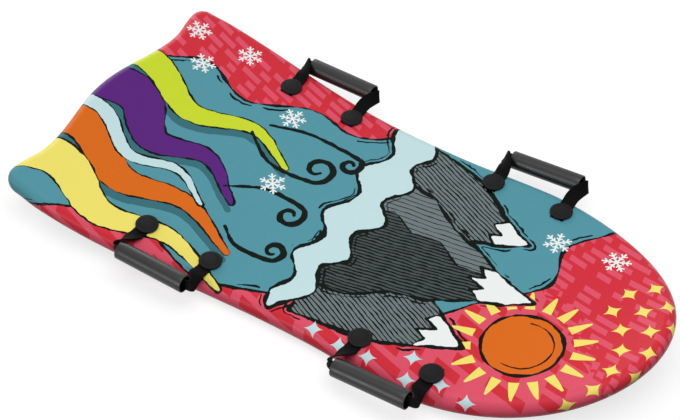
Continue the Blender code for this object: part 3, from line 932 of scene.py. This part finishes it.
def base_mesh():
    """Rivet base: a dished disc with a barbed post inside the cap's shank."""
    bottom = BASE_RECESS - THICKNESS
    dish = bottom + DISH_DEPTH
    tip = CAP_SEAT - BORE_ROOF - POST_GAP
    dish_slope, edge_width, rounding, segments = 0.0006, 0.0004, 0.0006, 48
    points = [(0.0, dish, 0), (DISH_RADIUS - dish_slope, dish, 0.6), (DISH_RADIUS, bottom, 0.6),
              (BASE_RADIUS - edge_width, bottom, 1), (BASE_RADIUS, bottom + BASE_EDGE, 1),
              (BASE_RADIUS, BASE_TOP, 0.6), (POST_RADIUS, BASE_TOP, 0.6)]
    for count in (2, 1):
        foot = tip - count * BARB_PITCH
        points += [(POST_RADIUS, foot, 0), (BARB_RADIUS, foot, 0.2), (POST_RADIUS, foot + BARB_HEIGHT, 0)]
    points += [(POST_RADIUS, tip - BARB_HEIGHT, 0), (0.0, tip, 0)]
    return turned("rivet_base", round_steps(points, rounding), segments)


def grip_mesh():
    """Soft tube with square-cut, slightly eased ends, turned about X."""
    half, bore = GRIP_LENGTH / 2, GRIP_RADIUS - GRIP_WALL
    outer_rings, inner_rings, rounding, segments = 12, 6, 0.0006, 72
    points = [(bore, -half, 1), (GRIP_RADIUS, -half, 1)]
    points += [(GRIP_RADIUS, mix(-half, half, step / outer_rings), 0) for step in range(1, outer_rings)]
    points += [(GRIP_RADIUS, half, 1), (bore, half, 1)]
    points += [(bore, mix(half, -half, step / inner_rings), 0) for step in range(1, inner_rings)]
    mesh = turned("grip_tube", round_steps(points, rounding, 3), segments, close=True)
    mesh.transform(Matrix.Rotation(QUARTER, 4, "Y"))
    keep_values(mesh, "tube", point_places(mesh.vertices, "co"))
    return mesh


# Webbing, as stations of (point, direction ahead, direction of its width) along the strip

def leg_stations(end):
    """One leg of the webbing from its crease to the grip's end, and the way into the grip."""
    middle, along = grip_axis()
    inward = -end * along
    mouth = middle - inward * (GRIP_LENGTH / 2)
    start = Vector((end * RIVET_PITCH / 2, CREASE_FLAT, 0))
    lead = mouth - inward * LEG_LEAD
    a, b, c, d = start, start + Vector((0, LEG_RUN, LEG_LIFT)), lead - inward * LEG_FLARE, lead
    flat = Vector((-end, 0, 0))
    up = Vector((0, 0, 1))
    stations = []
    for step in range(LEG_STEPS + 1):
        t = step / LEG_STEPS
        s = 1 - t
        point = a * s ** 3 + b * 3 * s * s * t + c * 3 * s * t * t + d * t ** 3
        ahead = (b - a) * s * s + (c - b) * 2 * s * t + (d - c) * t * t
        ahead.normalize()
        turn = QUARTER * ease(t ** LEG_LAG)
        width = flat * math.cos(turn) + up * math.sin(turn)
        stations.append((point, ahead, (width - ahead * width.dot(ahead)).normalized()))
    return stations, inward


def half_loop(row, end):
    """Half of a left handle's webbing, from its cut end to the middle of the grip."""
    rivet = rivet_frame(row, 1, end)
    hinge = crease_frame(row, 1)
    outward = Vector((0, 1, 0))
    flat, hinge_flat = ((turn.to_3x3() @ Vector((-end, 0, 0))).normalized() for turn in (rivet, hinge))
    ramp, past_crease = (0.25, 0.5, 0.7, 0.8, 0.88, 0.94, 1.0), (0.0004, 0.0008, 0.0013)
    stations = []
    for step in range(TAB_STEPS + 1):
        y = mix(-TAB_TAIL, CAP_RADIUS, step / TAB_STEPS)
        stations.append((rivet @ Vector((0, y, SEAT + WEB_THICK / 2)), outward, flat))
    low = stations[-1][0]
    crease = hinge @ Vector((end * RIVET_PITCH / 2, 0, 0))
    for share in ramp:
        point = Vector((mix(low.x, crease.x, share), mix(low.y, crease.y, share),
                        mix(low.z, crease.z, ease(share))))
        stations.append((point, outward, flat.lerp(hinge_flat, share).normalized()))
    for y in past_crease:
        stations.append((hinge @ Vector((end * RIVET_PITCH / 2, y, 0)), outward, hinge_flat))
    leg, inward = leg_stations(end)
    turn = hinge.to_3x3()
    for point, ahead, width in leg:
        stations.append((hinge @ point, turn @ ahead, turn @ width))
    point, ahead, width = stations[-1]
    inward = turn @ inward
    for step in range(1, GRIP_STEPS + 1):
        place = point + inward * (LEG_LEAD + GRIP_LENGTH / 2) * step / GRIP_STEPS
        stations.append((place, inward, width))
    return stations


def webbing_section():
    """The strip's section as (across, through) pairs: flat faces and rounded edges."""
    half, depth, rounding = WEB_WIDTH / 2, WEB_THICK / 2, 0.0007
    points = [(mix(-half + rounding, half - rounding, step / WIDTH_STEPS), depth)
              for step in range(WIDTH_STEPS + 1)]
    for angle in (math.radians(degrees) for degrees in (30, 60, 90, 120, 150)):
        points.append((half - rounding * (1 - math.sin(angle)), depth * math.cos(angle)))
    return points + [(-wide, -thick) for wide, thick in points]


def webbing_mesh(name, row, side):
    """One unbroken strip: cut end, under the cap, out through the grip and back under the other cap."""
    fore = [(point, -ahead, width) for point, ahead, width in half_loop(row, 1)[::-1]]
    line = half_loop(row, -1) + fore[1:]
    end_width, end_thickness = 0.985, 0.72
    bm = bmesh.new()
    weave = bm.verts.layers.float_vector.new("weave")
    rings = []
    travelled = 0.0
    for index, (point, ahead, width) in enumerate(line):
        if index:
            travelled += (point - line[index - 1][0]).length
        across = ahead.cross(width)
        at_end = index in (0, len(line) - 1)
        broad, deep = (end_width, end_thickness) if at_end else (1.0, 1.0)
        ring = []
        for wide, thick in webbing_section():
            place = point + width * wide * broad + across * thick * deep
            vert = bm.verts.new((place.x, side * place.y, place.z))
            vert[weave] = (wide, travelled, thick)
            ring.append(vert)
        rings.append(ring)
    join_rings(bm, rings, True)
    bm.faces.new(rings[0])
    bm.faces.new(rings[-1])
    return smooth_mesh(name, bm, 50)


def build_webbing(handle, row, side, material):
    name = f"webbing_{handle}"
    strip = link(name, webbing_mesh(name, row, side), material)
    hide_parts(f"strap_{handle}", f"tab_{handle}_aft", f"tab_{handle}_fore")
    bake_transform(strip)


def build_grip(handle, row, side, tube, material):
    centre, along = grip_axis()
    turn = Matrix.Rotation(-math.atan2(along.z, along.x), 4, "Y")
    mesh = tube.copy()
    shift = Matrix.Translation((centre.x, side * centre.y, centre.z))
    mesh.transform(crease_frame(row, side) @ shift @ turn)
    grip = link(f"tube_grip_{handle}", mesh, material, f"tube_{handle}")
    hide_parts(f"grip_{handle}")


def build_rivet(corner, seat, kinds, material):
    for kind, source in kinds.items():
        mesh = source.copy()
        mesh.transform(seat)
        piece = link(f"rivet_{kind}_{corner}", mesh, material, "board")
        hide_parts(f"{kind}_{corner}")


def build_handles():
    webbing, plastic, vinyl = webbing_material(), rivet_material(), grip_material()
    kinds = {"cap": cap_mesh(), "base": base_mesh()}
    tube = grip_mesh()
    for row in ROWS:
        for side_name, side in SIDES:
            handle = f"{row}_{side_name}"
            build_webbing(handle, row, side, webbing)
            build_grip(handle, row, side, tube, vinyl)
            for end_name, end in ENDS:
                build_rivet(f"{handle}_{end_name}", rivet_frame(row, side, end), kinds, plastic)


# Studio

FLOOR_REACH, FLOOR_DROP = 14.0, 0.0008
FLOOR_GLOW, FLOOR_GREY, FLOOR_DIM = 0.72, 0.34, 0.04
WORLD_SEEN, WORLD_LIGHT = 1.0, 0.22

# Place, size and power of each soft lamp
LAMPS = {
    "key": ((0.5, -0.3, 2.9), 3.2, 67.0),
    "fill": ((-1.0, -2.7, 0.80), 1.00, 19.0),
    "rim": ((-2.3, 1.7, 1.0), 2.2, 32.0),
}


def floor_material():
    """White with a soft shadow to the camera, and nearly black to the light that it throws back."""
    n = Nodes(bpy.data.materials.new("studio_floor"))
    n.tree.nodes.remove(n.tree.nodes["Principled BSDF"])
    dim, matt = (n.node("ShaderNodeBsdfDiffuse", {"Color": (level, level, level, 1.0)}).outputs[0]
                 for level in (FLOOR_DIM, FLOOR_GREY))
    glow = n.node("ShaderNodeEmission", {"Color": (1.0, 1.0, 1.0, 1.0), "Strength": FLOOR_GLOW})
    bright = n.node("ShaderNodeAddShader", {0: matt, 1: glow.outputs[0]})
    choose = n.node("ShaderNodeMixShader", {0: n.seen(), 1: dim, 2: bright.outputs[0]})
    n.put(n.tree.nodes["Material Output"].inputs["Surface"], choose.outputs[0])
    return n.owner


def build_floor():
    mesh = bpy.data.meshes.new("studio_floor")
    corners = [(x * FLOOR_REACH, y * FLOOR_REACH, 0) for x, y in ((-1, -1), (1, -1), (1, 1), (-1, 1))]
    mesh.from_pydata(corners, [], [(0, 1, 2, 3)])
    mesh.materials.append(floor_material())
    floor = bpy.data.objects.new("studio_floor", mesh)
    floor.location.z = -FLOOR_DROP
    bpy.context.scene.collection.objects.link(floor)


def build_world():
    """White to the camera, and a dimmer white as a light."""
    n = Nodes(bpy.data.worlds.new("studio"))
    bpy.context.scene.world = n.owner
    back = n.tree.nodes["Background"]
    n.put(back.inputs["Color"], (1.0, 1.0, 1.0, 1.0))
    n.put(back.inputs["Strength"], n.span(n.seen(), 0.0, 1.0, WORLD_LIGHT, WORLD_SEEN))


def build_lamps():
    for name, (place, size, power) in LAMPS.items():
        lamp = bpy.data.lights.new(name, "AREA")
        lamp.shape = "DISK"
        lamp.size = size
        lamp.energy = power
        holder = bpy.data.objects.new(name, lamp)
        holder.location = place
        holder.rotation_euler = (-Vector(place)).to_track_quat("-Z", "Y").to_euler()
        bpy.context.scene.collection.objects.link(holder)


def build_camera():
    """Camera at the photograph's angle, found from the board's outline, its rivets and its grips."""
    azimuth, elevation = math.radians(33.80), math.radians(45.37)
    target, distance, focal_length, sensor = Vector((-0.0611, 0.0381, 0.0)), 2.4538, 83.68, 36.0
    back = Vector((math.sin(azimuth) * math.cos(elevation), -math.cos(azimuth) * math.cos(elevation),
                   math.sin(elevation)))
    lens = bpy.data.cameras.new("camera")
    lens.lens = focal_length
    lens.sensor_width = sensor
    camera = bpy.data.objects.new("camera", lens)
    camera.location = target + back * distance
    camera.rotation_euler = back.to_track_quat("Z", "Y").to_euler()
    bpy.context.scene.collection.objects.link(camera)
    bpy.context.scene.camera = camera


def main():
    build_camera()
    build_floor()
    build_world()
    build_lamps()
    build_film(print_material())
    build_handles()
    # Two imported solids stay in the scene, with better materials
    for name, material in (("slick_bottom", slick_material()), ("foam_core", foam_material())):
        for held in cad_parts[name].material_slots:
            held.material = material
    bpy.context.scene.view_settings.view_transform = "Standard"


main()
